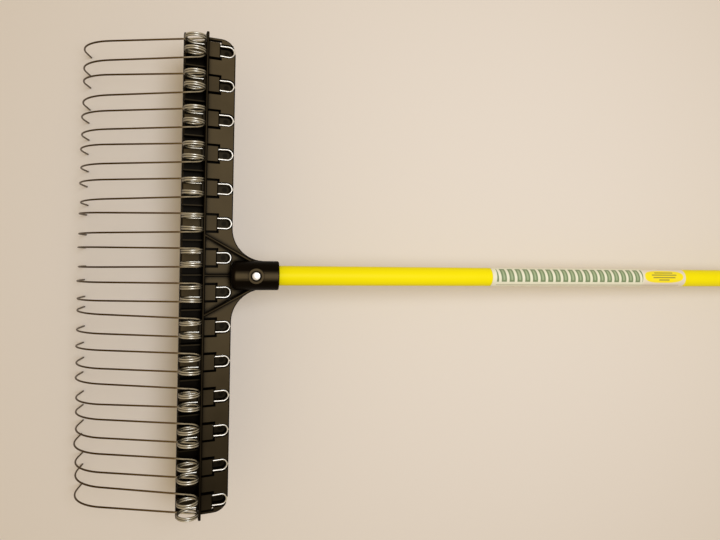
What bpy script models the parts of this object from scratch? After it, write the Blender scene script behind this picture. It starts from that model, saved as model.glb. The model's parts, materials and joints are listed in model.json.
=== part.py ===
"""Landscape rake: a moulded head with fourteen double torsion springs and a long round handle.

The rake lies on its tine tips and on the far end of its handle. X runs along the handle,
Y along the head and Z up. Lengths are in metres and angles in degrees.
"""
import bpy
import bmesh
from math import asin, atan2, cos, hypot, pi, radians, sin, tan
from mathutils import Matrix, Vector

# Springs and tines
unit_count = 14
unit_pitch = 0.0381
wire_radius = 0.0010
coil_radius = 0.0106
leg_spacing = 0.01146
coil_inner_spacing = 0.0093
coil_turn_gap = 0.00025
coil_tail = 0.0015
tine_spacing = 0.0202
tine_droop = 15.1
tine_straight = 0.1044
bend_radius = 0.0540
tip_length = 0.0175
loop_reach = 0.0425

# Moulded head; heights are measured from the middle of the spring legs
plate_lean = 12.5
plate_over_legs = 0.0020
plate_thickness = 0.0065
plate_behind_rib = 0.0290
plate_inset = 0.0047
plate_corner = 0.0155
plate_edge_round = 0.0013
rib_inset = 0.00105
rib_clearance = 0.0005
rib_thickness = 0.0028
rib_over_legs = 0.0050
ledge_depth = 0.0022
ledge_half_width = 0.0075
ledge_over_legs = 0.0022
beam_front = -0.0104
beam_width = 0.0018
beam_under_legs = 0.0089
beam_slope = 15.3
beam_depth = 0.0090
trough_under_legs = 0.0150
land_half_width = 0.0046
web_thickness = 0.0014
web_under_legs = 0.0015
block_half_width = 0.0081
block_length = 0.01235
block_rise = 0.0010
slot_width = 0.0028
slot_behind_block = 0.0014
pocket_under_legs = 0.0080
pocket_shelf = 0.0010
pocket_wall = 0.0019

# Socket and handle
socket_behind_rib = 0.0533
socket_over_legs = 0.01267
socket_wall = 0.0051
socket_before_bolt = 0.0266
socket_after_bolt = 0.0250
flare_radius = 0.0360
brace_start = 0.0439
brace_end = 0.0103
brace_thickness = 0.0030
middle_rib_thickness = 0.0026
brace_edge = 0.0009
brace_under_legs = 0.0043
handle_radius = 0.0111
handle_wall = 0.0026
handle_length = 1.3970
handle_before_bolt = 0.0205
cap_wall = 0.0015
cap_cover = 0.0280
label_start = 0.2812
label_length = 0.2777
bolt_radius = 0.0025
bolt_head_radius = 0.0044
bolt_past_socket = 0.0088
nut_boss_depth = 0.0026

# Clearances and fineness
gap = 0.0003
thin = 0.0002
wire_sides = 6
coil_steps = 10
round_sides = 40
crease_angle = 35.0

tine_angle = radians(tine_droop)
lean = radians(plate_lean)
first_unit = 0.5 * (unit_count - 1) * unit_pitch
unit_places = [first_unit - number * unit_pitch for number in range(unit_count)]
wire_reach = wire_radius + gap
leg_half = 0.5 * leg_spacing
leg_level = -coil_radius
coil_turn_pitch = 2.0 * wire_radius + coil_turn_gap
rib_front = coil_radius + wire_radius + rib_clearance
rib_rear = rib_front + rib_thickness
rib_top = leg_level + rib_over_legs
rib_half_length = 0.5 * unit_count * unit_pitch - rib_inset
plate_top = leg_level + plate_over_legs
plate_bottom = plate_top - plate_thickness
plate_rear = rib_rear + plate_behind_rib
plate_half_length = rib_half_length - plate_inset
ledge_front = rib_front - ledge_depth
ledge_top = leg_level + ledge_over_legs
beam_top = leg_level - beam_under_legs
beam_bottom = beam_top - beam_depth
beam_rise = tan(radians(beam_slope))
trough_floor_top = leg_level - trough_under_legs
block_top = plate_top + block_rise
block_rear = rib_rear + block_length
slot_rear = block_rear + slot_behind_block
loop_centre = loop_reach - leg_half
channel_half = leg_half + wire_reach + thin
pocket_half = leg_half - pocket_shelf
pocket_low = leg_level - pocket_under_legs
socket_radius = handle_radius + socket_wall
bolt_length = 2.0 * socket_radius + bolt_past_socket
socket_along = rib_rear + socket_behind_rib
socket_high = leg_level + socket_over_legs
slot_outer = block_half_width + slot_width
brace_low = leg_level - brace_under_legs
brace_top = rib_top + 2.0 * thin
wire_bed = leg_level - wire_reach
hole_sides = 8
tunnel_radius = wire_reach / cos(pi / hole_sides)

# Height of the coil axis when the tips stand on the ground
coil_height = coil_radius * cos(tine_angle) + tine_straight * sin(tine_angle)
coil_height += bend_radius * cos(tine_angle) + tip_length

head_frame = Matrix.Translation((0.0, 0.0, coil_height)) @ Matrix.Rotation(lean, 4, "Y")
bolt_place = head_frame @ Vector((socket_along, 0.0, socket_high))
handle_end = handle_length - handle_before_bolt
cap_radius = handle_radius + cap_wall
cap_end = handle_end + 0.0033

# The handle droops until the rim of its end cap meets the ground
handle_droop = asin(bolt_place.z / hypot(cap_end, cap_radius)) - atan2(cap_radius, cap_end)
handle_frame = Matrix.Translation(bolt_place) @ Matrix.Rotation(handle_droop, 4, "Y")
upright = handle_frame @ Matrix.Rotation(-0.5 * pi, 4, "Y")


def clear_scene():
    """Remove every object so that the part stands alone."""
    for item in list(bpy.data.objects):
        bpy.data.objects.remove(item, do_unlink=True)


def make_material(name, color, metallic, roughness):
    """Return a plain Principled material."""
    material = bpy.data.materials.new(name)
    material.use_nodes = True
    shader = material.node_tree.nodes["Principled BSDF"]
    shader.inputs["Base Color"].default_value = (*color, 1.0)
    shader.inputs["Metallic"].default_value = metallic
    shader.inputs["Roughness"].default_value = roughness
    material.diffuse_color = (*color, 1.0)
    return material


def make_object(name, bm):
    """Store a bmesh in a new object with every face turned outward."""
    bmesh.ops.recalc_face_normals(bm, faces=bm.faces)
    mesh = bpy.data.meshes.new(name)
    bm.to_mesh(mesh)
    bm.free()
    item = bpy.data.objects.new(name, mesh)
    bpy.context.scene.collection.objects.link(item)
    return item


def finish(item, color, metallic, roughness):
    """Give a finished piece its own material and smooth its round faces."""
    item.data.shade_smooth()
    item.data.set_sharp_from_angle(angle=radians(crease_angle))
    material = make_material("mat_" + item.name, color, metallic, roughness)
    item.data.materials.clear()
    item.data.materials.append(material)
    return item


def add_prism(bm, outline, low, high, place):
    """Add a straight prism; place(u, v, depth) gives each corner in the world."""
    bottom = [bm.verts.new(place(u, v, low)) for u, v in outline]
    top = [bm.verts.new(place(u, v, high)) for u, v in outline]
    bm.faces.new(bottom)
    bm.faces.new(top)
    count = len(outline)
    for index in range(count):
        following = (index + 1) % count
        bm.faces.new((bottom[index], bottom[following], top[following], top[index]))


def side_place(u, v, depth):
    """Place a side outline (along, high) at a distance along the head."""
    return head_frame @ Vector((u, depth, v))


def plan_place(u, v, depth):
    """Place a plan outline (along, across) at a height above the coil axis."""
    return head_frame @ Vector((u, v, depth))


def add_box(bm, along, across, high):
    """Add a box given by its limits in the frame of the head."""
    outline = [(along[0], high[0]), (along[1], high[0]), (along[1], high[1]), (along[0], high[1])]
    add_prism(bm, outline, across[0], across[1], side_place)


def add_lathe(bm, profile, frame, sides=round_sides):
    """Add a body turned about the X axis of a frame; the profile holds (along, radius)."""
    rings = []
    for along, radius in profile:
        if radius == 0.0:
            rings.append([bm.verts.new(frame @ Vector((along, 0.0, 0.0)))])
            continue
        ring = []
        for step in range(sides):
            turn = 2.0 * pi * step / sides
            spot = Vector((along, radius * cos(turn), radius * sin(turn)))
            ring.append(bm.verts.new(frame @ spot))
        rings.append(ring)
    closed = len(rings[0]) > 1
    pairs = list(zip(rings, rings[1:] + rings[:1])) if closed else list(zip(rings, rings[1:]))
    for first, second in pairs:
        for step in range(sides):
            following = (step + 1) % sides
            if len(first) == 1:
                bm.faces.new((first[0], second[step], second[following]))
            elif len(second) == 1:
                bm.faces.new((first[step], first[following], second[0]))
            else:
                bm.faces.new((first[step], first[following], second[following], second[step]))


def add_wire(bm, path, radius, sides):
    """Sweep a round wire along a path with flat ends."""
    count = len(path)
    directions = []
    for index in range(count):
        before = path[max(index - 1, 0)]
        after = path[min(index + 1, count - 1)]
        directions.append((after - before).normalized())
    normal = directions[0].orthogonal().normalized()
    rings = []
    for index, spot in enumerate(path):
        direction = directions[index]
        normal = (normal - direction * normal.dot(direction)).normalized()
        other = direction.cross(normal)
        ring = []
        for step in range(sides):
            turn = 2.0 * pi * step / sides
            ring.append(bm.verts.new(spot + radius * (cos(turn) * normal + sin(turn) * other)))
        rings.append(ring)
    for first, second in zip(rings, rings[1:]):
        for step in range(sides):
            following = (step + 1) % sides
            bm.faces.new((first[step], first[following], second[following], second[step]))
    bm.faces.new(rings[0])
    bm.faces.new(rings[-1])


def combine(base, other, operation):
    """Join or cut one object with another and keep only the result."""
    modifier = base.modifiers.new("combine", "BOOLEAN")
    modifier.operation = operation
    modifier.solver = "EXACT"
    modifier.object = other
    graph = bpy.context.evaluated_depsgraph_get()
    mesh = bpy.data.meshes.new_from_object(base.evaluated_get(graph))
    base.modifiers.clear()
    old = base.data
    base.data = mesh
    bpy.data.meshes.remove(old)
    bpy.data.objects.remove(other, do_unlink=True)


def arc(centre, radius, start, end, steps):
    """Return points on a plan arc between two angles in degrees."""
    points = []
    for step in range(steps + 1):
        turn = radians(start + (end - start) * step / steps)
        points.append((centre[0] + radius * cos(turn), centre[1] + radius * sin(turn)))
    return points


def plate_outline(inset):
    """Return the plan of the plate with round rear corners and the flare to the socket."""
    corner = (plate_rear - plate_corner, plate_half_length - plate_corner)
    flare = (plate_rear + flare_radius, socket_radius + flare_radius - thin)
    half = [(rib_front + thin, plate_half_length - inset)]
    half += arc(corner, plate_corner - inset, 90.0, 0.0, 7)
    half += arc(flare, flare_radius + inset, 180.0, 268.0, 12)
    mirrored = [(along, -across) for along, across in reversed(half)]
    return half + mirrored


def add_stack(bm, outlines):
    """Add a closed body through a stack of matching outlines."""
    rings = [[bm.verts.new(spot) for spot in outline] for outline in outlines]
    bm.faces.new(rings[0])
    bm.faces.new(rings[-1])
    count = len(rings[0])
    for lower, upper in zip(rings, rings[1:]):
        for index in range(count):
            following = (index + 1) % count
            bm.faces.new((lower[index], lower[following], upper[following], upper[index]))


def add_plate(bm):
    """Add the plate as stacked outlines that draw in round its upper edge."""
    outlines = [(plate_outline(0.0), plate_bottom)]
    for step in range(4):
        turn = 0.5 * pi * step / 3
        inset = plate_edge_round * (1.0 - cos(turn))
        high = plate_top - plate_edge_round * (1.0 - sin(turn))
        outlines.append((plate_outline(inset), high))
    add_stack(bm, [[plan_place(u, v, high) for u, v in outline] for outline, high in outlines])


def add_brace(bm, start, end, half, rise):
    """Add one upright rib between two plan points, with its upper edges cut back."""
    direction = (end - start).normalized()
    across = Vector((-direction.y, direction.x))
    outlines = []
    for high, lift, reach in ((brace_low, 0.0, half), (brace_top - brace_edge, rise, half),
                              (brace_top, rise, half - brace_edge)):
        arm = across * reach
        near = [plan_place(spot.x, spot.y, high) for spot in (start - arm, start + arm)]
        far = [plan_place(spot.x, spot.y, high + lift) for spot in (end + arm, end - arm)]
        outlines.append(near + far)
    add_stack(bm, outlines)


def add_loop_pockets(bm, start, half, low, high):
    """Add a pocket with a round rear end under each spring loop."""
    for place in unit_places:
        outline = [(start, half)] + arc((loop_centre, 0.0), half, 90.0, -90.0, 10) + [(start, -half)]
        shifted = [(along, across + place) for along, across in outline]
        add_prism(bm, shifted, low, high, plan_place)


def leg_at(along):
    """Return the distance of a spring leg from the middle of its unit."""
    share = min(max(along / loop_centre, 0.0), 1.0)
    return 0.5 * coil_inner_spacing + share * (leg_half - 0.5 * coil_inner_spacing)


def build_head():
    """Build the moulded head: plate, ribs, trough, pockets and socket in one body."""
    bm = bmesh.new()
    add_plate(bm)
    head = make_object("rake_head", bm)
    deep = beam_bottom + 4.0 * thin

    # Thick underside of the plate, which holds the pockets
    bm = bmesh.new()
    keel_half = plate_half_length - 0.0040
    keel_rear = loop_reach - 0.0004
    add_box(bm, (rib_rear - 5.0 * thin, keel_rear), (-keel_half, keel_half),
            (pocket_low - pocket_wall, plate_bottom + thin))
    combine(head, make_object("keel", bm), "UNION")

    # Tall rib across the head with a round crest
    bm = bmesh.new()
    reach = rib_half_length
    crest = 0.5 * rib_thickness
    outline = [(rib_front, deep - thin), (rib_rear, deep - thin)]
    outline += arc((rib_front + crest, rib_top - crest), crest, 0.0, 180.0, 6)
    add_prism(bm, outline, -reach, reach, side_place)
    combine(head, make_object("rib", bm), "UNION")

    # Front beam with its sloping top
    bm = bmesh.new()
    back = beam_front + beam_width
    outline = [(beam_front, beam_bottom), (back, beam_bottom)]
    outline += [(back, beam_top + beam_width * beam_rise), (beam_front, beam_top)]
    add_prism(bm, outline, -reach, reach, side_place)
    combine(head, make_object("beam", bm), "UNION")

    # Floor of the trough between beam and rib
    bm = bmesh.new()
    floor_half = plate_half_length - thin
    along = (back - 5.0 * thin, rib_front + 5.0 * thin)
    add_box(bm, along, (-floor_half, floor_half), (deep, trough_floor_top))
    combine(head, make_object("floor", bm), "UNION")

    # Land between the two coils of each spring, then the ledge that its legs run through
    bm = bmesh.new()
    land_front = beam_front + thin
    land_rear = ledge_front + 2.0 * thin
    low = trough_floor_top - 5.0 * thin
    land_high = beam_top + thin + (land_rear - land_front) * beam_rise
    for place in unit_places:
        outline = [(land_front, low), (land_rear, low), (land_rear, land_high)]
        outline += [(land_front, beam_top + thin)]
        add_prism(bm, outline, place - land_half_width, place + land_half_width, side_place)
    combine(head, make_object("lands", bm), "UNION")
    bm = bmesh.new()
    for place in unit_places:
        across = (place - ledge_half_width, place + ledge_half_width)
        add_box(bm, (ledge_front, rib_front + 4.0 * thin), across, (low + thin, ledge_top))
    combine(head, make_object("ledges", bm), "UNION")

    # Thin web between neighbouring springs
    bm = bmesh.new()
    web_half = 0.5 * web_thickness
    web_top = leg_level - web_under_legs
    for first, second in zip(unit_places, unit_places[1:]):
        place = 0.5 * (first + second)
        along = (back - 4.0 * thin, rib_front + 3.0 * thin)
        add_box(bm, along, (place - web_half, place + web_half), (low, web_top))
    combine(head, make_object("webs", bm), "UNION")

    # Raised block over the legs of each spring
    bm = bmesh.new()
    for place in unit_places:
        across = (place - block_half_width - thin, place + block_half_width + thin)
        along = (rib_rear - 5.0 * thin, block_rear + thin)
        add_box(bm, along, across, (plate_top - 0.0020, block_top))
    combine(head, make_object("blocks", bm), "UNION")

    # Socket barrel with a domed end
    bm = bmesh.new()
    dome = 0.0060
    chamfer = 0.0008
    profile = [(-socket_before_bolt, 0.0)]
    for step in range(6):
        turn = 0.5 * pi * step / 5
        along = dome * (1.0 - cos(turn)) - socket_before_bolt
        profile.append((along, socket_radius - dome + dome * sin(turn)))
    profile.append((socket_after_bolt - chamfer, socket_radius))
    profile.append((socket_after_bolt, socket_radius - chamfer))
    profile.append((socket_after_bolt, 0.0))
    add_lathe(bm, profile, handle_frame)
    combine(head, make_object("barrel", bm), "UNION")

    # Round bosses for the bolt above and the nut below
    bm = bmesh.new()
    boss_top = socket_radius + 0.0006
    boss_radius = 0.0083
    boss_bottom = socket_radius + nut_boss_depth
    add_lathe(bm, [(0.5 * socket_radius, 0.0), (0.5 * socket_radius, boss_radius),
                   (boss_top, boss_radius), (boss_top, 0.0)], upright, 32)
    add_lathe(bm, [(-boss_bottom, 0.0), (-boss_bottom, boss_radius),
                   (-0.5 * socket_radius, boss_radius), (-0.5 * socket_radius, 0.0)], upright, 32)
    combine(head, make_object("bosses", bm), "UNION")

    # Two slanting ribs and one middle rib run from the tall rib to the socket
    bm = bmesh.new()
    for side in (1.0, -1.0):
        start = Vector((rib_rear - 0.0010, side * brace_start))
        end = Vector((socket_along + 0.0045, side * brace_end))
        rise = (end - start).length * sin(lean - handle_droop)
        add_brace(bm, start, end, 0.5 * brace_thickness, rise)
    middle_start = Vector((rib_rear - 0.0010, 0.0))
    middle_end = Vector((socket_along - socket_before_bolt + 0.0060, 0.0))
    add_brace(bm, middle_start, middle_end, 0.5 * middle_rib_thickness, 0.0)
    combine(head, make_object("braces", bm), "UNION")

    # Slots beside the blocks, joined behind each block
    bm = bmesh.new()
    slot_high = block_top + 0.0010
    for place in unit_places:
        for side in (1.0, -1.0):
            edges = sorted((place + side * block_half_width, place + side * slot_outer))
            add_box(bm, (rib_rear + thin, slot_rear), edges, (pocket_low, slot_high))
    combine(head, make_object("slots", bm), "DIFFERENCE")
    bm = bmesh.new()
    for place in unit_places:
        across = (place - slot_outer + thin, place + slot_outer - thin)
        add_box(bm, (block_rear, slot_rear - thin), across, (wire_bed - thin, slot_high))
    combine(head, make_object("joins", bm), "DIFFERENCE")

    # Shallow bed for the wire of each loop, then the deep pocket inside it
    bm = bmesh.new()
    add_loop_pockets(bm, block_rear + thin, channel_half, wire_bed, slot_high + thin)
    combine(head, make_object("beds", bm), "DIFFERENCE")
    bm = bmesh.new()
    add_loop_pockets(bm, block_rear + 2.0 * thin, pocket_half, pocket_low + thin, slot_high + 2.0 * thin)
    combine(head, make_object("pockets", bm), "DIFFERENCE")

    # Holes for the spring legs through the ledge, the rib and the block
    bm = bmesh.new()
    hole_front = ledge_front - 0.0004
    hole_rear = block_rear + 0.0006
    for place in unit_places:
        for side in (1.0, -1.0):
            start = Vector((hole_front, place + side * leg_at(hole_front), leg_level))
            end = Vector((hole_rear, place + side * leg_at(hole_rear), leg_level))
            path = [head_frame @ start, head_frame @ end]
            add_wire(bm, path, tunnel_radius, hole_sides)
    combine(head, make_object("holes", bm), "DIFFERENCE")

    # Bore for the handle, with a chamfered mouth, turned by half a facet against the barrel
    bm = bmesh.new()
    turned = handle_frame @ Matrix.Rotation(pi / round_sides, 4, "X")
    bore = handle_radius + gap
    bore_start = -handle_before_bolt - gap
    mouth = socket_after_bolt
    add_lathe(bm, [(bore_start, 0.0), (bore_start, bore), (mouth - 0.0010, bore),
                   (mouth + 0.0005, bore + 0.0015), (mouth + 0.0005, 0.0)], turned)
    combine(head, make_object("bore", bm), "DIFFERENCE")

    # Counterbore and bolt hole
    bm = bmesh.new()
    seat = socket_radius - 0.0018
    hole = bolt_radius + gap
    hole_end = -boss_bottom - 0.0012
    add_lathe(bm, [(hole_end, 0.0), (hole_end, hole), (seat, hole), (seat, 0.0060),
                   (boss_top + 0.0010, 0.0060), (boss_top + 0.0010, 0.0)], upright, 28)
    combine(head, make_object("bolt_hole", bm), "DIFFERENCE")
    finish(head, (0.028, 0.026, 0.024), 0.0, 0.42)
    return seat


def coil_path(side):
    """Return one half of a spring from the middle of its loop to the start of the tine."""
    points = []
    for step in range(6):
        turn = 0.5 * pi * step / 5
        spot = Vector((loop_centre + leg_half * cos(turn), leg_half * sin(turn), leg_level))
        points.append(spot)
    points.append(Vector((0.5 * loop_centre, leg_at(0.5 * loop_centre), leg_level)))
    slope = tine_angle + lean
    total = 4.0 * pi - slope
    steps = round(total / (2.0 * pi) * coil_steps)
    turns_in_all = total / (2.0 * pi)
    inner = 0.5 * coil_inner_spacing
    extra = 0.5 * tine_spacing - inner - coil_turn_pitch * turns_in_all
    for step in range(steps + 1):
        share = step / steps
        turn = total * share
        opening = max(share - 0.76, 0.0) / 0.24
        across = inner + coil_turn_pitch * turns_in_all * share + extra * opening * opening
        points.append(Vector((-coil_radius * sin(turn), across, -coil_radius * cos(turn))))
    points.append(points[-1] + Vector((-cos(slope), 0.0, -sin(slope))) * coil_tail)
    return [Vector((spot.x, side * spot.y, spot.z)) for spot in points]


def build_spring(number, place):
    """Build the coil pair and loop of one double spring as a single bent wire."""
    upper = coil_path(1.0)
    lower = coil_path(-1.0)
    path = list(reversed(upper)) + lower[1:]
    shift = Vector((0.0, place, 0.0))
    path = [head_frame @ (spot + shift) for spot in path]
    bm = bmesh.new()
    add_wire(bm, path, wire_radius, wire_sides)
    item = make_object("spring_%02d" % number, bm)
    finish(item, (0.62, 0.60, 0.56), 1.0, 0.32)


def build_tine(number, place, side):
    """Build one tine from the end of its coil to the tip, turning about the coil axis."""
    direction = Vector((-cos(tine_angle), 0.0, -sin(tine_angle)))
    normal = Vector((sin(tine_angle), 0.0, -cos(tine_angle)))
    start = normal * coil_radius
    bend_start = start + direction * tine_straight
    bend_centre = bend_start + normal * bend_radius
    across = Vector((0.0, side * 0.5 * tine_spacing, 0.0))
    path = [start + direction * (coil_tail + gap), start + direction * 0.5 * tine_straight, bend_start]
    bend = 0.5 * pi - tine_angle
    for step in range(1, 7):
        turn = bend * step / 6
        arm = -normal * cos(turn) + direction * sin(turn)
        path.append(bend_centre + arm * bend_radius)
    path.append(path[-1] + Vector((0.0, 0.0, -tip_length)))
    bm = bmesh.new()
    add_wire(bm, [spot + across for spot in path], wire_radius, wire_sides)
    item = make_object("tine_%02d" % number, bm)
    item.location = (0.0, place, coil_height)
    finish(item, (0.30, 0.27, 0.24), 1.0, 0.38)


def build_handle():
    """Build the handle tube, its core, the end cap and the label sleeve."""
    inner = handle_radius - handle_wall
    start = -handle_before_bolt
    bm = bmesh.new()
    add_lathe(bm, [(start, inner), (start, handle_radius), (handle_end, handle_radius),
                   (handle_end, inner)], handle_frame)
    tube = make_object("handle_tube", bm)
    hole = bolt_radius + gap
    core_radius = inner - gap
    core_end = 0.0350
    bm = bmesh.new()
    add_lathe(bm, [(start, 0.0), (start, core_radius), (core_end, core_radius),
                   (core_end, 0.0)], handle_frame, 24)
    core = make_object("handle_core", bm)
    for item in (tube, core):
        bm = bmesh.new()
        add_lathe(bm, [(-0.0200, 0.0), (-0.0200, hole), (0.0200, hole), (0.0200, 0.0)], upright, 20)
        combine(item, make_object("drill", bm), "DIFFERENCE")
    finish(tube, (0.83, 0.70, 0.01), 0.0, 0.30)
    finish(core, (0.55, 0.42, 0.27), 0.0, 0.70)

    bm = bmesh.new()
    cover = handle_radius + gap
    edge = 0.0010
    add_lathe(bm, [(handle_end + gap, 0.0), (handle_end + gap, cover),
                   (handle_end - cap_cover, cover), (handle_end - cap_cover, cap_radius - edge),
                   (handle_end - cap_cover + edge, cap_radius), (cap_end, cap_radius),
                   (cap_end, 0.0)], handle_frame)
    finish(make_object("end_cap", bm), (0.03, 0.03, 0.03), 0.0, 0.55)

    bm = bmesh.new()
    outer = cover + thin
    label_end = label_start + label_length
    add_lathe(bm, [(label_start, cover), (label_start, outer), (label_end, outer),
                   (label_end, cover)], handle_frame)
    finish(make_object("label_sleeve", bm), (0.84, 0.81, 0.70), 0.0, 0.35)


def build_fasteners(seat):
    """Build the domed bolt, the washer and the lock nut that hold the handle."""
    head_bottom = seat + gap
    head_height = 0.0026
    bolt_end = head_bottom - bolt_length
    profile = [(bolt_end, 0.0), (bolt_end, bolt_radius)]
    profile += [(head_bottom, bolt_radius), (head_bottom, bolt_head_radius)]
    for step in range(1, 6):
        turn = 0.5 * pi * step / 5
        radius = bolt_head_radius * cos(turn) if step < 5 else 0.0
        profile.append((head_bottom + head_height * sin(turn), radius))
    bm = bmesh.new()
    add_lathe(bm, profile, upright, 24)
    finish(make_object("socket_bolt", bm), (0.78, 0.77, 0.74), 1.0, 0.25)

    hole = bolt_radius + gap
    washer_top = -socket_radius - nut_boss_depth - gap
    washer_bottom = washer_top - 0.0012
    bm = bmesh.new()
    add_lathe(bm, [(washer_bottom, hole), (washer_bottom, 0.0065), (washer_top, 0.0065),
                   (washer_top, hole)], upright, 24)
    finish(make_object("bolt_washer", bm), (0.66, 0.65, 0.62), 1.0, 0.35)

    # The nut is a ring whose outer corners are pushed out to a hexagon
    nut_top = washer_bottom - gap
    nut_flat = nut_top - 0.0040
    collar = nut_flat - 0.0013
    half_flats = 0.0040
    bm = bmesh.new()
    add_lathe(bm, [(nut_top, hole), (nut_top, half_flats), (nut_flat, half_flats),
                   (nut_flat, 0.0034), (collar, 0.0034), (collar, hole)], upright, 24)
    back = upright.inverted()
    for vertex in bm.verts:
        spot = back @ vertex.co
        if hypot(spot.y, spot.z) > half_flats - thin:
            turn = atan2(spot.z, spot.y) % (pi / 3.0) - pi / 6.0
            spot.y /= cos(turn)
            spot.z /= cos(turn)
            vertex.co = upright @ spot
    finish(make_object("lock_nut", bm), (0.60, 0.59, 0.57), 1.0, 0.35)


def centre_part():
    """Slide everything along X so that the part is centred over the origin."""
    low = 1.0
    high = -1.0
    for item in bpy.data.objects:
        for vertex in item.data.vertices:
            along = item.location.x + vertex.co.x
            low = min(low, along)
            high = max(high, along)
    middle = 0.5 * (low + high)
    for item in bpy.data.objects:
        item.location.x -= middle


def build():
    """Build every piece of the rake."""
    clear_scene()
    seat = build_head()
    for index, place in enumerate(unit_places):
        build_spring(index + 1, place)
        build_tine(2 * index + 1, place, 1.0)
        build_tine(2 * index + 2, place, -1.0)
    build_handle()
    build_fasteners(seat)
    centre_part()


build()
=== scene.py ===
import json
from math import asin, cos, pi, radians, sin

import bpy
from mathutils import Matrix, Vector


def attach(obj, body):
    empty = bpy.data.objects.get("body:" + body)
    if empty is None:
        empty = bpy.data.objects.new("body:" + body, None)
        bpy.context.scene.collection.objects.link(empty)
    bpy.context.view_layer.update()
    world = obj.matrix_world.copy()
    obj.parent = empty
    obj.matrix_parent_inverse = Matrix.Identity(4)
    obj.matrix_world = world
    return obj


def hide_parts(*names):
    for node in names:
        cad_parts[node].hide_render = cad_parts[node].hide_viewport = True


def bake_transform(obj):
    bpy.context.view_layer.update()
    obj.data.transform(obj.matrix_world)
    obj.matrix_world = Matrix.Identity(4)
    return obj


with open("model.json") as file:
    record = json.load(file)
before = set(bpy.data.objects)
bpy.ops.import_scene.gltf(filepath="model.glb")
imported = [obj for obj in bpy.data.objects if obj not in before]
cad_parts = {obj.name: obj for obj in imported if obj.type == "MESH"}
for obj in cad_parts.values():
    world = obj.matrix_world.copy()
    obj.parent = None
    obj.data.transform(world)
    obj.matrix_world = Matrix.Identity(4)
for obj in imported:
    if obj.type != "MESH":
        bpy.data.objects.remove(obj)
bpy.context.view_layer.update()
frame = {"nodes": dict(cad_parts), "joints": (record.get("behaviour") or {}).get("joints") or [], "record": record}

rakeBody = "rake"
mm = 0.001
joints = {joint["name"]: joint for joint in frame["joints"]}
coilAxis = Vector(joints["tine_01_flex"]["pos_m"])  # one point on the line that every coil turns about
plateLean = radians(12.5)
springPitch = 38.1 * mm

# The head's own frame starts on the coil axis: X points rearward along the plate, Z out of its top
headPlace = Matrix.Translation((coilAxis.x, 0.0, coilAxis.z)) @ Matrix.Rotation(plateLean, 4, "Y")
headRear = headPlace.to_3x3() @ Vector((1.0, 0.0, 0.0))
headUp = headPlace.to_3x3() @ Vector((0.0, 0.0, 1.0))

# The handle's own frame: X runs down the handle from the bolt, Z points out of its top
capFace = frame["record"]["mounts"][0]
handleDroop = asin(-capFace["axis"][2])
boltMiddle = headPlace @ Vector((68.2 * mm, 0.0, 2.07 * mm))  # where the bolt crosses the handle
handlePlace = Matrix.Translation(boltMiddle) @ Matrix.Rotation(handleDroop, 4, "Y")
alongHandle = handlePlace @ Matrix.Rotation(0.5 * pi, 4, "Y")  # Z of this frame runs down the handle


# Small helpers

def clearSelection():
    if bpy.context.mode != "OBJECT":
        bpy.ops.object.mode_set(mode="OBJECT")
    bpy.ops.object.select_all(action="DESELECT")


def makeActive(piece):
    clearSelection()
    piece.select_set(True)
    bpy.context.view_layer.objects.active = piece


def editWhole(piece):
    makeActive(piece)
    bpy.ops.object.mode_set(mode="EDIT")
    bpy.ops.mesh.select_all(action="SELECT")


def addNamed(name):
    piece = bpy.context.active_object
    piece.name = name
    piece.data.name = name
    return piece


def copyNode(nodeName, name):
    # a node's mesh is loose triangles, so the copy is merged and its flat faces are made whole
    piece = bpy.data.objects.new(name, frame["nodes"][nodeName].data.copy())
    bpy.context.scene.collection.objects.link(piece)
    editWhole(piece)
    bpy.ops.mesh.remove_doubles(threshold=0.005 * mm)
    bpy.ops.mesh.dissolve_limited(angle_limit=radians(1.0))
    bpy.ops.object.mode_set(mode="OBJECT")
    return piece


def applyPlace(piece):
    makeActive(piece)
    bpy.ops.object.transform_apply(location=True, rotation=True, scale=True)


def applyModifier(piece, kind, **settings):
    makeActive(piece)
    modifier = piece.modifiers.new(kind.lower(), kind)
    for key, value in settings.items():
        setattr(modifier, key, value)
    bpy.ops.object.modifier_apply(modifier=modifier.name)


def roundEdges(piece, width, segments, angle):
    applyModifier(piece, "BEVEL", width=width, segments=segments, limit_method="ANGLE", angle_limit=angle)


def fixNormals(piece, merge=0.01 * mm):
    editWhole(piece)
    bpy.ops.mesh.remove_doubles(threshold=merge)
    bpy.ops.mesh.normals_make_consistent(inside=False)
    bpy.ops.object.mode_set(mode="OBJECT")


def smoothPiece(piece, angle=35.0):
    makeActive(piece)
    bpy.ops.object.shade_smooth_by_angle(angle=radians(angle))


def paint(piece, material):
    piece.data.materials.clear()
    piece.data.materials.append(material)


def finishPiece(piece, material, nodeName):
    paint(piece, material)
    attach(piece, rakeBody)
    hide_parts(nodeName)
    return piece


def turnPiece(name, profile, place, sides=48, ring=False):
    # a disc, or a bare ring for a piece with a bore, is drawn out step by step along the Z axis
    along, radius = profile[0]
    clearSelection()
    bpy.ops.mesh.primitive_circle_add(vertices=sides, radius=radius, location=(0.0, 0.0, along),
                                      fill_type="NOTHING" if ring else "NGON")
    piece = addNamed(name)
    applyPlace(piece)
    editWhole(piece)
    for nextAlong, nextRadius in profile[1:] + (profile[:1] if ring else []):
        bpy.ops.mesh.extrude_region_move(TRANSFORM_OT_translate={"value": (0.0, 0.0, nextAlong - along)})
        grow = nextRadius / radius
        bpy.ops.transform.resize(value=(grow, grow, 1.0), center_override=(0.0, 0.0, nextAlong))
        along, radius = nextAlong, nextRadius
    bpy.ops.object.mode_set(mode="OBJECT")
    piece.matrix_world = place
    applyPlace(piece)
    fixNormals(piece)
    return piece


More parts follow.
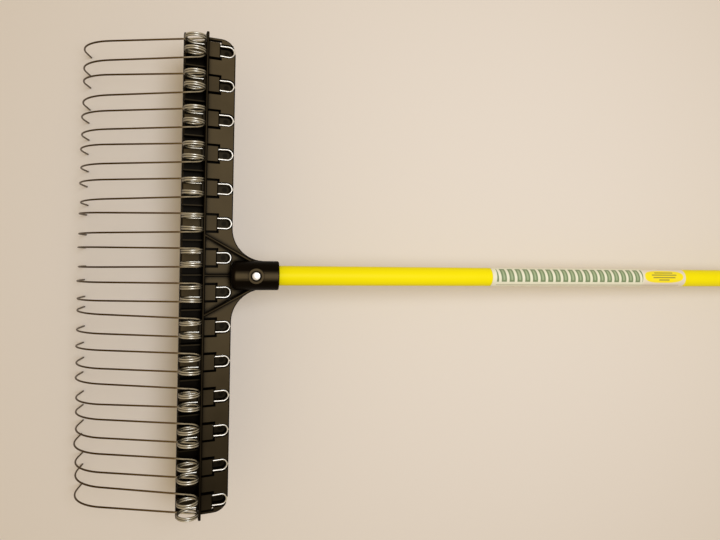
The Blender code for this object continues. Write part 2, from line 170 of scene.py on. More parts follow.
def roundedCorner(end, outer, edge):
    # points of a profile that turn from its side to its end in a quarter circle
    turns = [0.5 * pi * step / 4 for step in range(5)]
    return [(end - edge * (1.0 - sin(turn)), outer - edge * (1.0 - cos(turn))) for turn in turns]


def cutPiece(piece, cutter):
    applyModifier(piece, "BOOLEAN", operation="DIFFERENCE", solver="EXACT", object=cutter)
    bpy.data.objects.remove(cutter, do_unlink=True)


print("helpers ready")


# Materials

def newMaterial(name, color, roughness, metallic=0.0):
    material = bpy.data.materials.new(name)
    material.use_nodes = True
    shader = material.node_tree.nodes["Principled BSDF"]
    shader.inputs["Base Color"].default_value = (*color, 1.0)
    shader.inputs["Roughness"].default_value = roughness
    shader.inputs["Metallic"].default_value = metallic
    return material, material.node_tree, shader


def addNode(tree, kind, **settings):
    node = tree.nodes.new(kind)
    for key, value in settings.items():
        if hasattr(node, key):
            setattr(node, key, value)
        else:
            node.inputs[key].default_value = value
    return node


def addNoise(tree, scale, detail=3.0, stretch=(1.0, 1.0, 1.0)):
    coordinates = addNode(tree, "ShaderNodeTexCoord")
    mapping = addNode(tree, "ShaderNodeMapping", Scale=stretch)
    noise = addNode(tree, "ShaderNodeTexNoise", Scale=scale, Detail=detail)
    tree.links.new(coordinates.outputs["Object"], mapping.inputs["Vector"])
    tree.links.new(mapping.outputs["Vector"], noise.inputs["Vector"])
    return noise.outputs["Fac"]


def addRamp(tree, source, stops):
    ramp = addNode(tree, "ShaderNodeValToRGB")
    elements = ramp.color_ramp.elements
    while len(elements) < len(stops):
        elements.new(0.5)
    for element, (place, color) in zip(elements, stops):
        element.position = place
        element.color = (*color, 1.0)
    tree.links.new(source, ramp.inputs["Fac"])
    return ramp.outputs["Color"]


def addRange(tree, source, low, high, start=0.0, end=1.0):
    change = addNode(tree, "ShaderNodeMapRange")
    for name, value in (("From Min", start), ("From Max", end), ("To Min", low), ("To Max", high)):
        change.inputs[name].default_value = value
    tree.links.new(source, change.inputs["Value"])
    return change.outputs["Result"]


def addSplit(tree, source):
    split = addNode(tree, "ShaderNodeSeparateXYZ")
    tree.links.new(source, split.inputs["Vector"])
    return split.outputs


def addMath(tree, operation, first, second=None):
    node = addNode(tree, "ShaderNodeMath", operation=operation)
    for index, value in enumerate((first, second)):
        if isinstance(value, (int, float)):
            node.inputs[index].default_value = value
        elif value is not None:
            tree.links.new(value, node.inputs[index])
    return node.outputs["Value"]


def addProduct(tree, first, *others):
    for other in others:
        first = addMath(tree, "MULTIPLY", first, other)
    return first


def addPick(tree, choice, first, second):
    mix = addNode(tree, "ShaderNodeMix")
    for index, value in ((0, choice), (2, first), (3, second)):
        tree.links.new(value, mix.inputs[index])
    return mix.outputs[0]


def addMix(tree, share, first, second):
    mix = addNode(tree, "ShaderNodeMix", data_type="RGBA")
    tree.links.new(share, mix.inputs[0])
    for place, value in ((6, first), (7, second)):
        if isinstance(value, tuple):
            mix.inputs[place].default_value = (*value, 1.0)
        else:
            tree.links.new(value, mix.inputs[place])
    return mix.outputs[2]


def addBump(tree, shader, source, strength, distance):
    bump = addNode(tree, "ShaderNodeBump", Strength=strength, Distance=distance)
    tree.links.new(source, bump.inputs["Height"])
    tree.links.new(bump.outputs["Normal"], shader.inputs["Normal"])


# A row of four gives the share of painted sheen before and after a change, and where the change starts and ends
plastic = {
    "clouds": (26.0, 5.0),
    "base": [(0.35, (0.0022, 0.0013, 0.0006)), (0.7, (0.0038, 0.0024, 0.0012))],
    # the brown of the painted sheen on up-facing faces
    "paintedSheen": [(0.3, (0.062, 0.047, 0.024)), (0.7, (0.080, 0.061, 0.032))],
    "dullness": (0.40, 0.50),
    "specular": 0.035,
    "tint": (1.0, 0.86, 0.62, 1.0),
    "grain": (1500.0, 2.0),
    "bump": (0.10, 0.1 * mm),
    "level": (0.0, 1.0, 0.945, 0.972),  # painted sheen, by how squarely a face looks up
    # painted highlight along the top of the socket
    "crest": (0.0, 1.0, 0.90, 1.0),
    "crestGain": 1.08,
    "corners": (0.0, 1.0, 0.55, 0.95),  # painted shade in corners and creases, by how open the place is
    "cornerReach": 5.0 * mm,
    # the next rows cut the painted sheen back to painted shade in the trough, the pockets, on the beam, the webs
    # and the crests
    "overTrough": (0.0, 1.0, -25.0 * mm, -22.0 * mm),  # painted shade in the trough, by height above the coil axis
    "overPocket": (0.0, 1.0, -14.5 * mm, -11.5 * mm),
    "underWebs": (1.0, 0.35, -13.2 * mm, -12.4 * mm),
    "underCrests": (1.0, 0.4, -8.2 * mm, -6.6 * mm),
    "onSocket": (0.0, 1.0, -3.0 * mm, 3.0 * mm),
    "behindBeam": (0.15, 1.0, -8.9 * mm, -8.3 * mm),  # painted shade on the beam in front, by distance behind the coil axis
    "behindRib": (0.0, 1.0, 12.0 * mm, 12.4 * mm),
    "behindBlock": (0.0, 1.0, 27.6 * mm, 29.0 * mm),
    "spotPlace": 35.4 * mm,
    "roundSpot": (0.10, 0.36, 2.2 * mm, 3.4 * mm),  # painted shade in a spot under the loop, by distance from the middle of the spot
    "sheenFade": (0.27, 1.05, -0.23, 0.0),  # the painted sheen fades, by place from one end of the head to its middle
}


def makeMoulded():
    # near black, with a painted brown sheen on open level faces as light falls on them, and painted shade deep in
    # the pockets, the trough and the corners
    material, tree, shader = newMaterial("mouldedPlastic", (0.006, 0.005, 0.004), 0.42)
    clouds = addNoise(tree, *plastic["clouds"])
    place = addNode(tree, "ShaderNodeTexCoord").outputs["Object"]
    sideways = addSplit(tree, place)["Y"]
    upward = addSplit(tree, addNode(tree, "ShaderNodeNewGeometry").outputs["Normal"])["Z"]
    # an occlusion node finds the corners that get painted shade
    corners = addNode(tree, "ShaderNodeAmbientOcclusion", only_local=True, samples=8,
                      Distance=plastic["cornerReach"])

    def fromCoilAxis(direction):
        part = addNode(tree, "ShaderNodeVectorMath", operation="DOT_PRODUCT")
        part.inputs[1].default_value = direction
        tree.links.new(place, part.inputs[0])
        return addMath(tree, "SUBTRACT", part.outputs["Value"], direction.dot(coilAxis))

    def byRow(source, name):
        return addRange(tree, source, *plastic[name])

    rearward = fromCoilAxis(headRear)
    height = fromCoilAxis(headUp)
    level = byRow(upward, "level")
    # a narrow painted highlight along the socket's crest
    crest = addProduct(tree, addMath(tree, "POWER", byRow(upward, "crest"), 3.0), plastic["crestGain"])
    overPocket = byRow(height, "overPocket")
    # painted shade keeps the beam in front and the webs between springs darker than the lands
    darker = addProduct(tree, byRow(rearward, "behindBeam"), byRow(height, "underWebs"))
    inTrough = addProduct(tree, byRow(height, "overTrough"), darker)
    depth = addPick(tree, byRow(rearward, "behindRib"), inTrough, overPocket)
    flats = addProduct(tree, level, byRow(height, "underCrests"))
    # the socket takes the painted highlight, the other faces the painted sheen
    share = addPick(tree, byRow(height, "onSocket"), flats, crest)
    share = addProduct(tree, share, depth, byRow(corners.outputs["AO"], "corners"))
    # the floor of each pocket gets the painted sheen too, round a spot of painted shade under the loop
    across = addMath(tree, "FRACT", addMath(tree, "DIVIDE", sideways, springPitch))
    across = addMath(tree, "SUBTRACT", across, 0.5)
    besideSpot = addMath(tree, "POWER", addProduct(tree, across, springPitch), 2.0)
    behindSpot = addMath(tree, "POWER", addMath(tree, "SUBTRACT", rearward, plastic["spotPlace"]), 2.0)
    fromSpot = addMath(tree, "SQRT", addMath(tree, "ADD", besideSpot, behindSpot))
    inPocket = addMath(tree, "SUBTRACT", 1.0, overPocket)
    ring = addProduct(tree, byRow(fromSpot, "roundSpot"), byRow(rearward, "behindBlock"), inPocket)
    share = addMath(tree, "MAXIMUM", share, addProduct(tree, level, ring))
    # the painted sheen fades towards one end of the head
    share = addProduct(tree, share, byRow(sideways, "sheenFade"))
    base = addRamp(tree, clouds, plastic["base"])
    color = addMix(tree, share, base, addRamp(tree, clouds, plastic["paintedSheen"]))
    tree.links.new(color, shader.inputs["Base Color"])
    tree.links.new(addRange(tree, clouds, *plastic["dullness"]), shader.inputs["Roughness"])
    shader.inputs["Specular IOR Level"].default_value = plastic["specular"]
    shader.inputs["Specular Tint"].default_value = plastic["tint"]
    addBump(tree, shader, addNoise(tree, *plastic["grain"]), *plastic["bump"])
    return material


steel = {
    "patches": (700.0, 3.0),
    "dullness": (0.42, 0.36),
    "darker": [(0.3, (0.064, 0.038, 0.012)), (0.7, (0.088, 0.055, 0.020))],
    "lighter": [(0.3, (0.160, 0.112, 0.054)), (0.7, (0.210, 0.150, 0.078))],
    "bright": [(0.3, (0.56, 0.54, 0.46)), (0.7, (0.63, 0.61, 0.52))],
    "shaded": (0.13, 0.12, 0.09),  # painted shade on the sides of the wire, for faces that don't look up
    "lit": (0.1, 0.9),
    "loop": (0.70, 0.68, 0.60),
    # where one look gives way to the next, measured behind the coil axis
    "browned": (-90.0 * mm, -20.0 * mm),
    "coiled": (-17.0 * mm, -8.0 * mm),
    "looped": (13.0 * mm, 16.0 * mm),
}


def makeWireSteel():
    # burnished where it is coiled and looped, dull and brown along the tines
    material, tree, shader = newMaterial("springWire", (0.62, 0.59, 0.50), 0.3, 1.0)
    along = addSplit(tree, addNode(tree, "ShaderNodeTexCoord").outputs["Object"])["X"]
    upward = addSplit(tree, addNode(tree, "ShaderNodeNewGeometry").outputs["Normal"])["Z"]
    patches = addNoise(tree, *steel["patches"])

    def reach(name):
        start, end = steel[name]
        return addRange(tree, along, 0.0, 1.0, coilAxis.x + start, coilAxis.x + end)

    darker = addRamp(tree, patches, steel["darker"])
    lighter = addRamp(tree, patches, steel["lighter"])
    bright = addRamp(tree, patches, steel["bright"])
    dull = addMix(tree, reach("browned"), darker, lighter)
    # painted shade on the sides of the coiled wire and painted light on its tops, by how each face looks up
    bright = addMix(tree, addRange(tree, upward, 0.0, 1.0, *steel["lit"]), steel["shaded"], bright)
    bright = addMix(tree, reach("looped"), bright, steel["loop"])
    tree.links.new(addMix(tree, reach("coiled"), dull, bright), shader.inputs["Base Color"])
    tree.links.new(addRange(tree, patches, *steel["dullness"]), shader.inputs["Roughness"])
    return material


# Plain finishes: tones and roughness drift over soft clouds, and a fine grain makes the bump
finishes = {
    "capPlastic": {
        "color": (0.022, 0.021, 0.020), "roughness": 0.55, "metallic": 0.0, "specular": 0.5,
        "clouds": (40.0, 4.0), "tones": [(0.3, (0.016, 0.015, 0.014)), (0.75, (0.034, 0.032, 0.030))],
        "dullness": (0.48, 0.66), "grain": (1300.0, 2.0), "bump": (0.3, 0.1 * mm)},
    "zincPlate": {
        "color": (0.86, 0.85, 0.81), "roughness": 0.22, "metallic": 1.0, "specular": 0.5,
        "clouds": (420.0, 4.0), "tones": [(0.35, (0.78, 0.77, 0.73)), (0.65, (0.90, 0.89, 0.85))],
        "dullness": (0.46, 0.36), "grain": (2200.0, 2.0), "bump": (0.08, 0.04 * mm)},
    "yellowGloss": {
        "color": (0.92, 0.79, 0.003), "roughness": 0.42, "metallic": 0.0, "specular": 0.06,
        "clouds": (30.0, 4.0, (0.15, 1.0, 1.0)),  # both patterns are stretched along the handle
        "tones": [(0.3, (0.86, 0.75, 0.002)), (0.7, (0.90, 0.79, 0.003))],
        "dullness": (0.38, 0.46), "grain": (900.0, 2.0, (0.02, 1.0, 1.0)), "bump": (0.08, 0.1 * mm)},
}


def makeFinish(name):
    look = finishes[name]
    material, tree, shader = newMaterial(name, look["color"], look["roughness"], look["metallic"])
    clouds = addNoise(tree, *look["clouds"])
    tree.links.new(addRamp(tree, clouds, look["tones"]), shader.inputs["Base Color"])
    tree.links.new(addRange(tree, clouds, *look["dullness"]), shader.inputs["Roughness"])
    shader.inputs["Specular IOR Level"].default_value = look["specular"]
    addBump(tree, shader, addNoise(tree, *look["grain"]), *look["bump"])
    return material


def makeWood():
    material, tree, shader = newMaterial("plugWood", (0.55, 0.42, 0.27), 0.7)
    grain = addNoise(tree, 160.0, 4.0, stretch=(0.12, 1.0, 1.0))
    color = addRamp(tree, grain, [(0.3, (0.46, 0.33, 0.19)), (0.7, (0.62, 0.48, 0.31))])
    tree.links.new(color, shader.inputs["Base Color"])
    addBump(tree, shader, grain, 0.3, 0.2 * mm)
    return material


moulded = makeMoulded()
wireSteel = makeWireSteel()
softPlastic = makeFinish("capPlastic")
zinc = makeFinish("zincPlate")
handlePaint = makeFinish("yellowGloss")
plugWood = makeWood()
print("materials made")


# Springs and tines

wire = {
    "radius": 1.0 * mm,
    "sides": 12,
    "coilRadius": 10.6 * mm,
    "loopHalf": 5.73 * mm,
    "loopCentre": 36.77 * mm,  # behind the coil axis
    "loopSteps": 9,
    "innerHalf": 4.65 * mm,
    "legSteps": 4,
    "turnPitch": 2.25 * mm,
    "tineHalf": 10.1 * mm,
    "stepsEachTurn": 24,
    "openFrom": 0.76,  # share of the coil after which its turns spread out to the tine
    "droop": radians(15.1),
    "straight": 104.4 * mm,
    "straightSteps": 6,
    "fixedRings": 4,  # rings at the root of a tine that its twist and trim leave alone
    "bendRadius": 54.0 * mm,
    "bendSteps": 14,
    "tip": 17.5 * mm,
    "units": 14,
    "flexFrom": 5.65 * mm,  # where the coil starts to follow its tine, beside the middle of the spring
    "flexRun": 3.7 * mm,
    # small sideways lean of each tine, in degrees, from one end of the head to the other
    "splay": [-0.4, -1.1, 0.0, -1.5, -1.2, -1.3, -0.7, -1.3, -1.2, -2.0, -0.2, -1.4, -0.3, -1.4,
              -0.7, -0.8, 1.0, 0.3, 0.1, 0.1, 0.7, -0.7, 0.1, 0.1, 0.3, 0.3, 1.3, 0.3],
    # how far each hook is twisted about its own tine, in degrees
    "twist": [2.7, 1.7, 3.1, -0.8, 0.5, 0.1, -0.5, -0.3, -1.0, -1.9, 0.9, -0.8, -0.8, -0.8,
              -0.8, -0.8, 1.2, -0.8, -2.5, -0.4, -1.4, -1.6, -1.7, -0.3, 0.8, -1.7, 0.1, -1.2],
    # how much shorter each tine is than drawn, in millimetres
    "trim": [1.8, 1.5, 1.5, 1.3, 0.0, 0.5, -0.4, 0.3, -0.7, 0.8, -0.6, -0.6, -1.2, -0.4,
              -1.7, -1.0, -1.0, -0.9, -1.5, -0.8, -1.3, -0.3, -0.2, 0.2, -1.5, 0.4, 0.6, 0.4],
}

# Both are in the head's own frame: how far a tine hangs down, and the way from its tip back to its root
tineSlope = wire["droop"] + plateLean
tineBack = Vector((cos(tineSlope), 0.0, sin(tineSlope)))


def pushWire(move):
    bpy.ops.mesh.extrude_region_move(TRANSFORM_OT_translate={"value": tuple(move)})


def bendWire(steps, angle, centre, axis, drift=None):
    # each step draws the wire on a little and swings its end face about the centre
    for step in range(steps):
        pushWire((0.0, drift[step], 0.0) if drift else (0.0, 0.0, 0.0))
        bpy.ops.transform.rotate(value=-angle / steps, orient_axis=axis, center_override=centre)


def makeHalfWire():
    # one half of a double spring, drawn from the middle of its loop to the tip of the tine
    size = wire
    bottom = -size["coilRadius"]
    clearSelection()
    bpy.ops.mesh.primitive_circle_add(
        vertices=size["sides"], radius=size["radius"], fill_type="NGON",
        location=(size["loopCentre"] + size["loopHalf"], 0.0, bottom), rotation=(radians(90.0), 0.0, 0.0))
    half = addNamed("halfWire")
    applyPlace(half)
    editWhole(half)
    bendWire(size["loopSteps"], radians(90.0), (size["loopCentre"], 0.0, bottom), "Z")
    legRun = Vector((-size["loopCentre"], size["innerHalf"] - size["loopHalf"], 0.0))
    for step in range(size["legSteps"]):
        pushWire(legRun / size["legSteps"])
    turns = 2.0 - tineSlope / (2.0 * pi)
    steps = round(turns * size["stepsEachTurn"])
    spare = size["tineHalf"] - size["innerHalf"] - size["turnPitch"] * turns
    places = []
    for step in range(steps + 1):
        share = step / steps
        opening = max(share - size["openFrom"], 0.0) / (1.0 - size["openFrom"])
        places.append(size["turnPitch"] * turns * share + spare * opening * opening)
    drift = [after - before for before, after in zip(places, places[1:])]
    bendWire(steps, turns * 2.0 * pi, (0.0, 0.0, 0.0), "Y", drift)
    bpy.ops.object.mode_set(mode="OBJECT")
    tineStart = len(half.data.vertices) - size["sides"]
    bpy.ops.object.mode_set(mode="EDIT")
    downward = Vector((sin(tineSlope), 0.0, -cos(tineSlope)))
    for step in range(size["straightSteps"]):
        pushWire(-tineBack * size["straight"] / size["straightSteps"])
    centre = downward * size["coilRadius"] - tineBack * size["straight"] + downward * size["bendRadius"]
    bend = 0.5 * pi - size["droop"]
    bendWire(size["bendSteps"], -bend, tuple(centre), "Y")
    downTip = Vector((sin(plateLean), 0.0, -cos(plateLean)))
    rounding = 0.8 * size["radius"]
    for step in range(2):
        pushWire(downTip * 0.5 * (size["tip"] - rounding))
    for share, width in ((0.55, 0.84), (0.45, 0.55)):  # the sheared end is slightly rounded
        pushWire(downTip * rounding * share)
        bpy.ops.transform.resize(value=(width, width, width))
    bpy.ops.object.mode_set(mode="OBJECT")
    return half, tineStart


def placeHalfWire(half, tineStart, number, middle, side):
    piece = half.copy()
    piece.data = half.data.copy()
    bpy.context.scene.collection.objects.link(piece)
    piece.name = "springWire_%02d" % number
    makeActive(piece)
    bpy.ops.object.mode_set(mode="EDIT")
    bpy.ops.mesh.select_all(action="DESELECT")
    bpy.ops.object.mode_set(mode="OBJECT")
    for vertex in piece.data.vertices:
        vertex.select = vertex.index >= tineStart
    bpy.ops.object.mode_set(mode="EDIT")
    pivot = (0.0, wire["tineHalf"], -wire["coilRadius"])
    turn = radians(wire["splay"][number - 1]) * side
    bpy.ops.transform.rotate(value=turn, orient_axis="Z", center_override=pivot)
    bpy.ops.object.mode_set(mode="OBJECT")
    vertices = piece.data.vertices
    first = tineStart + wire["fixedRings"] * wire["sides"]
    root = sum((vertices[first + corner].co for corner in range(wire["sides"])), Vector()) / wire["sides"]
    twist = Matrix.Rotation(radians(wire["twist"][number - 1]) * side, 3, tineBack)
    shorter = tineBack * wire["trim"][number - 1] * mm
    for vertex in vertices[first:]:
        vertex.co = root + twist @ (vertex.co - root) + shorter
    piece.scale = (1.0, side, 1.0)
    piece.rotation_euler = (0.0, plateLean, 0.0)
    piece.location = (coilAxis.x, middle, coilAxis.z)
    applyPlace(piece)
    fixNormals(piece)
    smoothPiece(piece, 50.0)
    paint(piece, wireSteel)
    return piece


halfWire, tineStart = makeHalfWire()
for unit in range(wire["units"]):
    middle = (0.5 * (wire["units"] - 1) - unit) * springPitch
    for side, number in ((1.0, 2 * unit + 1), (-1.0, 2 * unit + 2)):
        piece = placeHalfWire(halfWire, tineStart, number, middle, side)
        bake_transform(piece)
        nodes = ["tine_%02d" % number]
        if side > 0.0:
            nodes.append("spring_%02d" % (unit + 1))
        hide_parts(*nodes)
bpy.data.objects.remove(halfWire, do_unlink=True)
print("springs and tines made")


# Moulded head

head = {
    "edge": 0.40 * mm,  # width of the small rounded edges
    "edgeSegments": 3,
    "crease": radians(40.0),
    "blockRear": 27.25 * mm,  # behind the coil axis
    "blockTop": -7.6 * mm,  # from the coil axis
    "blockSlope": 1.2 * mm,
}


def slopeBlockEnds(piece):
    # the rear end of each block over the spring legs leans forward
    inward = headPlace.inverted()
    step = headPlace.to_3x3() @ Vector((-head["blockSlope"], 0.0, 0.0))
    moved = 0
    for vertex in piece.data.vertices:
        spot = inward @ vertex.co
        if abs(spot.x - head["blockRear"]) < 0.35 * mm and abs(spot.z - head["blockTop"]) < 0.1 * mm:
            vertex.co += step
            moved += 1
    print("corners moved on the blocks:", moved)


def makeHead():
    piece = copyNode("rake_head", "mouldedHead")
    slopeBlockEnds(piece)
    roundEdges(piece, head["edge"], head["edgeSegments"], head["crease"])
    smoothPiece(piece, 40.0)
    applyModifier(piece, "WEIGHTED_NORMAL", mode="FACE_AREA", weight=80, keep_sharp=True)
    return finishPiece(piece, moulded, "rake_head")


makeHead()
print("head made")


# Handle, its plug and its end cap

handle = {
    "radius": 11.1 * mm,
    "wall": 2.6 * mm,
    "start": -20.5 * mm,  # measured from the bolt
    "end": 1376.5 * mm,
    "rim": 0.5 * mm,
    "stretches": 12,  # keeps the long faces from becoming slivers
    "boltHole": 2.8 * mm,
    "sides": 72,
    "capWall": 1.5 * mm,
    "capCover": 28.0 * mm,
    "capEnd": 1379.8 * mm,
    "capGap": 0.3 * mm,
    "capEdge": 0.9 * mm,
    "capGrooves": 5,
    "grooveStart": 5.0 * mm,
    "grooveStep": 3.6 * mm,
    "grooveDepth": 0.45 * mm,
}


def makeShaft():
    start, end, rim = handle["start"], handle["end"], handle["rim"]
    outer = handle["radius"]
    inner = outer - handle["wall"]
    profile = [(start, inner), (start, outer - rim)]
    profile += [(start + 0.3 * rim, outer - 0.3 * rim), (start + rim, outer)]
    for step in range(1, handle["stretches"]):
        profile.append((start + (end - start) * step / handle["stretches"], outer))
    profile += [(end - rim, outer), (end, outer - rim), (end, inner)]
    shaft = turnPiece("handleShaft", profile, alongHandle, handle["sides"], ring=True)
    reach = 20.0 * mm  # past both walls
    hole = [(-reach, handle["boltHole"]), (reach, handle["boltHole"])]
    cutPiece(shaft, turnPiece("boltCutter", hole, handlePlace, 24))
    smoothPiece(shaft, 30.0)
    return finishPiece(shaft, handlePaint, "handle_tube")


def makePlug():
    plug = copyNode("handle_core", "handlePlug")
    roundEdges(plug, 0.3 * mm, 2, radians(50.0))
    smoothPiece(plug, 30.0)
    return finishPiece(plug, plugWood, "handle_core")


def makeEndCap():
    bore = handle["radius"] + handle["capGap"]
    outer = handle["radius"] + handle["capWall"]
    mouth = handle["end"] - handle["capCover"]
    edge = handle["capEdge"]
    depth = handle["grooveDepth"]
    profile = [(handle["end"] + handle["capGap"], bore), (mouth + 0.3 * mm, bore), (mouth, bore + 0.3 * mm),
               (mouth, outer - edge), (mouth + 0.3 * edge, outer - 0.3 * edge), (mouth + edge, outer)]
    for groove in range(handle["capGrooves"]):
        start = mouth + handle["grooveStart"] + groove * handle["grooveStep"]
        for along, deep in ((0.0, 0.0), (0.5 * mm, depth), (1.1 * mm, depth), (1.6 * mm, 0.0)):
            profile.append((start + along, outer - deep))
    profile += roundedCorner(handle["capEnd"], outer, edge)
    cap = turnPiece("endCap", profile, alongHandle, 64)
    smoothPiece(cap, 40.0)
    return finishPiece(cap, softPlastic, "end_cap")


makeShaft()
makePlug()
makeEndCap()
print("handle made")


# Label film: a plain printed wrap with a striped band, a yellow oval and fine lines

label = {
    "start": 281.2 * mm,
    "length": 277.7 * mm,
    "wrap": radians(214.0),  # how far the film goes round the handle
    "corner": 9.0 * mm,
    "lift": 0.32 * mm,
    "thickness": 0.16 * mm,
    "columns": 40,
    "rows": 16,
    "cream": (0.78, 0.71, 0.57),
    "paleCream": (0.80, 0.80, 0.62),
    "sage": (0.17, 0.25, 0.12),
    "paleSage": (0.36, 0.45, 0.26),
    "yellow": (0.95, 0.80, 0.0),
    "ink": (0.12, 0.11, 0.05),
    "worn": (0.55, 0.50, 0.36),
    # places in the print are in tenths of a metre, from the film's near end and from its middle line
    "paleAlong": (-0.02, 2.14),
    "barsAlong": (0.055, 2.12),
    "barsAcross": (-0.055, 0.122),
    "barPitch": 0.105,
    "barSlant": 0.12,
    "barWidth": (0.08, 0.74),  # in shares of the pitch
    "coreAcross": (-0.032, 0.098),
    "coreWidth": (0.30, 0.52),
    "ovalMiddle": (2.445, 0.024),
    "ovalHalf": (0.295, 0.086),
    "ovalPower": (3.0, 2.4),
    "rules": ((0.074, 0.14), (0.043, 0.19), (0.010, 0.17), (-0.022, 0.08)),  # place across, half the length
    "ruleHalf": 0.008,
    "lineAlong": (0.06, 2.70),
    "lineAcross": (-0.112, -0.099),
}


def makeLabelMaterial():
    material, tree, shader = newMaterial("labelPrint", label["cream"], 0.32)
    flat = addSplit(tree, addNode(tree, "ShaderNodeUVMap", uv_map="flatSheet").outputs["UV"])
    along, across = flat["X"], flat["Y"]

    def inside(source, limits, soft=0.003):
        low, high = limits
        rise = addRange(tree, source, 0.0, 1.0, low - soft, low + soft)
        fall = addRange(tree, source, 1.0, 0.0, high - soft, high + soft)
        return addProduct(tree, rise, fall)

    def outward(source, axis):
        offset = addMath(tree, "SUBTRACT", source, label["ovalMiddle"][axis])
        offset = addMath(tree, "ABSOLUTE", addMath(tree, "DIVIDE", offset, label["ovalHalf"][axis]))
        return addMath(tree, "POWER", offset, label["ovalPower"][axis])

    # slanting bars of two greens stand in the long band
    slant = addMath(tree, "ADD", along, addProduct(tree, across, label["barSlant"]))
    bar = addMath(tree, "FRACT", addMath(tree, "DIVIDE", slant, label["barPitch"]))
    band = addProduct(tree, inside(along, label["barsAlong"]), inside(across, label["barsAcross"]))
    darkBar = addProduct(tree, band, inside(bar, label["barWidth"], 0.03))
    barCore = addProduct(tree, band, inside(bar, label["coreWidth"], 0.05), inside(across, label["coreAcross"]))
    color = addMix(tree, inside(along, label["paleAlong"], 0.03), label["cream"], label["paleCream"])
    color = addMix(tree, darkBar, color, label["sage"])
    color = addMix(tree, barCore, color, label["paleSage"])
    # yellow oval with four ruled lines
    oval = addRange(tree, addMath(tree, "ADD", outward(along, 0), outward(across, 1)), 1.0, 0.0, 0.96, 1.04)
    color = addMix(tree, oval, color, label["yellow"])
    centre, thin = label["ovalMiddle"][0], label["ruleHalf"]
    for middle, half in label["rules"]:
        length = inside(along, (centre - half, centre + half))
        rule = addProduct(tree, inside(across, (middle - thin, middle + thin)), length)
        color = addMix(tree, addProduct(tree, rule, 0.75), color, label["ink"])
    # one fine line under everything
    fine = addProduct(tree, inside(across, label["lineAcross"]), inside(along, label["lineAlong"]))
    color = addMix(tree, addProduct(tree, fine, 0.6), color, label["ink"])
    wear = addNoise(tree, 90.0, 4.0)
    aged = addMix(tree, addRange(tree, wear, 0.0, 0.09, 0.35, 0.75), color, label["worn"])
    tree.links.new(aged, shader.inputs["Base Color"])
    tree.links.new(addRange(tree, wear, 0.28, 0.40), shader.inputs["Roughness"])
    return material


def makeLabel():
    radius = handle["radius"] + label["lift"]
    width = radius * label["wrap"]
    clearSelection()
    bpy.ops.mesh.primitive_plane_add(size=1.0, location=(label["start"] + 0.5 * label["length"], 0.0, 0.0))
    film = addNamed("labelFilm")
    film.scale = (label["length"], width, 1.0)
    applyPlace(film)
    editWhole(film)
    bpy.ops.mesh.bevel(offset=label["corner"], segments=8, affect="VERTICES")
    for step in range(1, label["columns"]):
        bpy.ops.mesh.select_all(action="SELECT")
        spot = width * (step / label["columns"] - 0.5)
        bpy.ops.mesh.bisect(plane_co=(0.0, spot, 0.0), plane_no=(0.0, 1.0, 0.0))
    for step in range(1, label["rows"]):
        bpy.ops.mesh.select_all(action="SELECT")
        spot = label["start"] + label["length"] * step / label["rows"]
        bpy.ops.mesh.bisect(plane_co=(spot, 0.0, 0.0), plane_no=(1.0, 0.0, 0.0))
    bpy.ops.object.mode_set(mode="OBJECT")
    sheet = film.data.uv_layers.new(name="flatSheet")
    for loop in film.data.loops:
        spot = film.data.vertices[loop.vertex_index].co
        sheet.data[loop.index].uv = (10.0 * (spot.x - label["start"]), 10.0 * spot.y)
    applyModifier(film, "SOLIDIFY", thickness=label["thickness"], offset=-1.0)
    # the flat sheet is wrapped round the top of the handle
    for vertex in film.data.vertices:
        turn = vertex.co.y / radius
        reach = radius + vertex.co.z
        vertex.co = handlePlace @ Vector((vertex.co.x, reach * sin(turn), reach * cos(turn)))
    fixNormals(film, 0.001 * mm)
    smoothPiece(film, 35.0)
    return finishPiece(film, makeLabelMaterial(), "label_sleeve")


makeLabel()
print("label made")


# Bolt, washer and nut

bolt = {
    "radius": 2.5 * mm,
    "headRadius": 4.4 * mm,
    "seat": 14.7 * mm,  # underside of the head, above the handle's axis
    "headHeight": 2.6 * mm,
    "headEdge": 0.7 * mm,
    "crown": 0.55 * mm,
    "crownSteps": 7,
    "end": -26.5 * mm,
    "threadStart": -17.0 * mm,
    "threadPitch": 0.8 * mm,
    "threadDepth": 0.40 * mm,
}


def makeBolt():
    radius, end, seat = bolt["radius"], bolt["end"], bolt["seat"]
    depth = bolt["threadDepth"]
    profile = [(end, radius - 0.7 * mm), (end + 0.5 * mm, radius - depth)]
    count = int((bolt["threadStart"] - end - 1.0 * mm) / bolt["threadPitch"])
    for turn in range(count):
        foot = end + 0.6 * mm + turn * bolt["threadPitch"]
        for along, deep in ((0.10 * mm, depth), (0.38 * mm, 0.0), (0.46 * mm, 0.0), (0.74 * mm, depth)):
            profile.append((foot + along, radius - deep))
    profile += [(bolt["threadStart"], radius), (seat - 0.2 * mm, radius), (seat, radius + 0.2 * mm)]
    top = bolt["headRadius"]
    profile += [(seat, top - 0.25 * mm), (seat + 0.25 * mm, top)]
    shoulder = seat + bolt["headHeight"] - bolt["crown"]
    profile += roundedCorner(shoulder, top, bolt["headEdge"])
    flat = top - bolt["headEdge"]
    for step in range(1, bolt["crownSteps"]):  # the low crown that catches the light
        share = 1.0 - step / bolt["crownSteps"]
        profile.append((shoulder + bolt["crown"] * (1.0 - share * share), flat * share))
    piece = turnPiece("socketBolt", profile, handlePlace, 48)
    smoothPiece(piece, 35.0)
    return finishPiece(piece, zinc, "socket_bolt")


def roundNode(nodeName, name):
    piece = copyNode(nodeName, name)
    roundEdges(piece, 0.25 * mm, 3, radians(40.0))
    smoothPiece(piece, 30.0)
    return finishPiece(piece, zinc, nodeName)


makeBolt()
roundNode("bolt_washer", "boltWasher")
roundNode("lock_nut", "lockNut")
print("fasteners made")


# Floor, light and camera

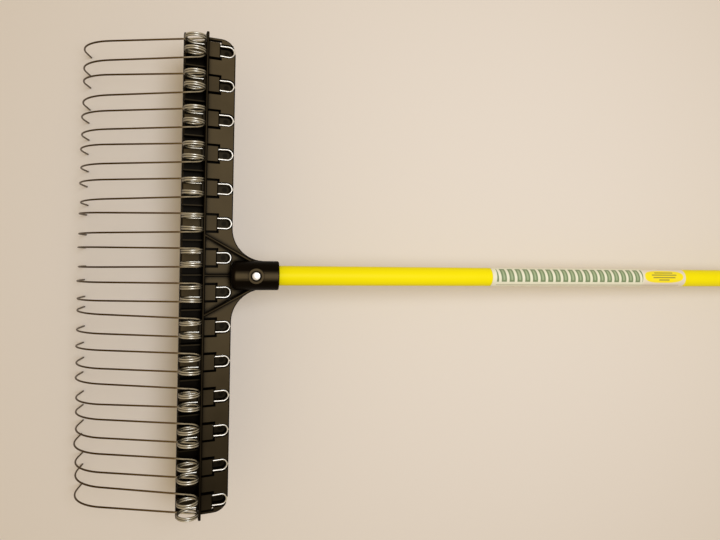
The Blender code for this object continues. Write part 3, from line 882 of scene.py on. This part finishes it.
room = {
    "floorSize": 9.0,
    "floorColor": (0.745, 0.697, 0.622),
    "airColor": (1.0, 0.80, 0.54, 1.0),
    "airStrength": 0.56,
}
softKey = {
    "width": 0.5,
    "depth": 0.6,
    "place": (-0.25, 0.12, 1.25),
    "aim": (-0.20, 0.0, 0.0),
    "power": 8.4,
    "color": (1.0, 1.06, 1.22),
}
photoView = {
    "focal": 541.0,  # in pixels of a picture that is 720 pixels wide
    "pictureWidth": 720.0,
    "sensor": 36.0,
    "shift": -0.03075,  # the picture is cut a little off the middle of the view
    "place": (-0.57354, 0.02835, 0.70586),
    "turn": (0.25, -9.69, 0.95),  # in degrees
}


def makeFloor():
    clearSelection()
    bpy.ops.mesh.primitive_plane_add(size=room["floorSize"], location=(0.0, 0.0, 0.0))
    floor = addNamed("paleFloor")
    paint(floor, newMaterial("paleCloth", room["floorColor"], 0.9)[0])


def makeLights():
    world = bpy.data.worlds.new("paleRoom")
    bpy.context.scene.world = world
    world.use_nodes = True
    back = world.node_tree.nodes["Background"]
    back.inputs["Color"].default_value = room["airColor"]
    back.inputs["Strength"].default_value = room["airStrength"]
    light = bpy.data.lights.new("softKey", "AREA")
    light.shape = "RECTANGLE"
    light.size = softKey["width"]
    light.size_y = softKey["depth"]
    light.energy = softKey["power"]
    light.color = softKey["color"]
    lamp = bpy.data.objects.new("softKey", light)
    bpy.context.scene.collection.objects.link(lamp)
    lamp.location = softKey["place"]
    aim = Vector(softKey["aim"]) - lamp.location
    lamp.rotation_euler = aim.to_track_quat("-Z", "Y").to_euler()


def makeCamera():
    view = bpy.data.cameras.new("photoView")
    view.sensor_width = photoView["sensor"]
    view.lens = photoView["focal"] / photoView["pictureWidth"] * photoView["sensor"]
    view.shift_y = photoView["shift"]
    view.clip_start = 0.01
    view.clip_end = 50.0
    camera = bpy.data.objects.new("photoView", view)
    bpy.context.scene.collection.objects.link(camera)
    camera.location = photoView["place"]
    camera.rotation_euler = [radians(angle) for angle in photoView["turn"]]
    bpy.context.scene.camera = camera


makeFloor()
makeLights()
makeCamera()
bpy.context.scene.view_settings.view_transform = "Standard"
print("stage made")
